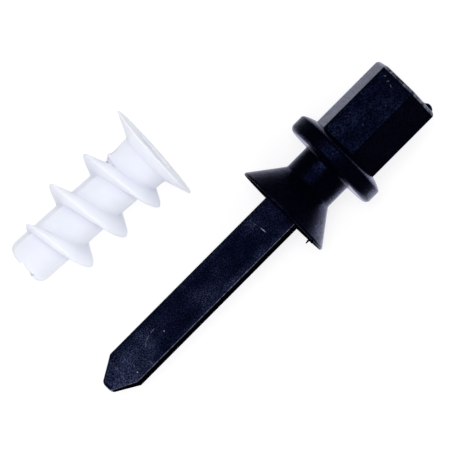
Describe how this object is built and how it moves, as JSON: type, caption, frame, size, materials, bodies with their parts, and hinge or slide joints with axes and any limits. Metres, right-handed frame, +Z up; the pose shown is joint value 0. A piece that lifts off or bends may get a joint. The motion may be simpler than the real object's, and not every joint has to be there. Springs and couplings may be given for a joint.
{
  "type": "wall anchor",
  "caption": "Coarse-threaded flanged plug that screws straight into plasterboard, with its blade-and-hex setting tool lying beside it.",
  "frame": {"origin": "middle of the bounding box of both pieces as they lie, on the surface they rest on", "axes": "+X along the setting tool from the blade tip to the drive hex, +Z up, +Y from the tool toward the plug"},
  "size_m": [0.054, 0.0308, 0.0139],
  "materials": {
    "black_plastic": "satin moulded plastic with a fine speckle",
    "white_nylon": "satin natural nylon, slightly milky"
  },
  "bodies": {
    "setting_tool": {"setting_tool": "black_plastic"},
    "plug": {"plug": "white_nylon"}
  },
  "joints": [
    {"name": "plug_slide", "type": "slide", "parent": "setting_tool", "child": "plug", "axis": [1, 0, 0], "range_m": [-0.028, 0.006]}
  ]
}
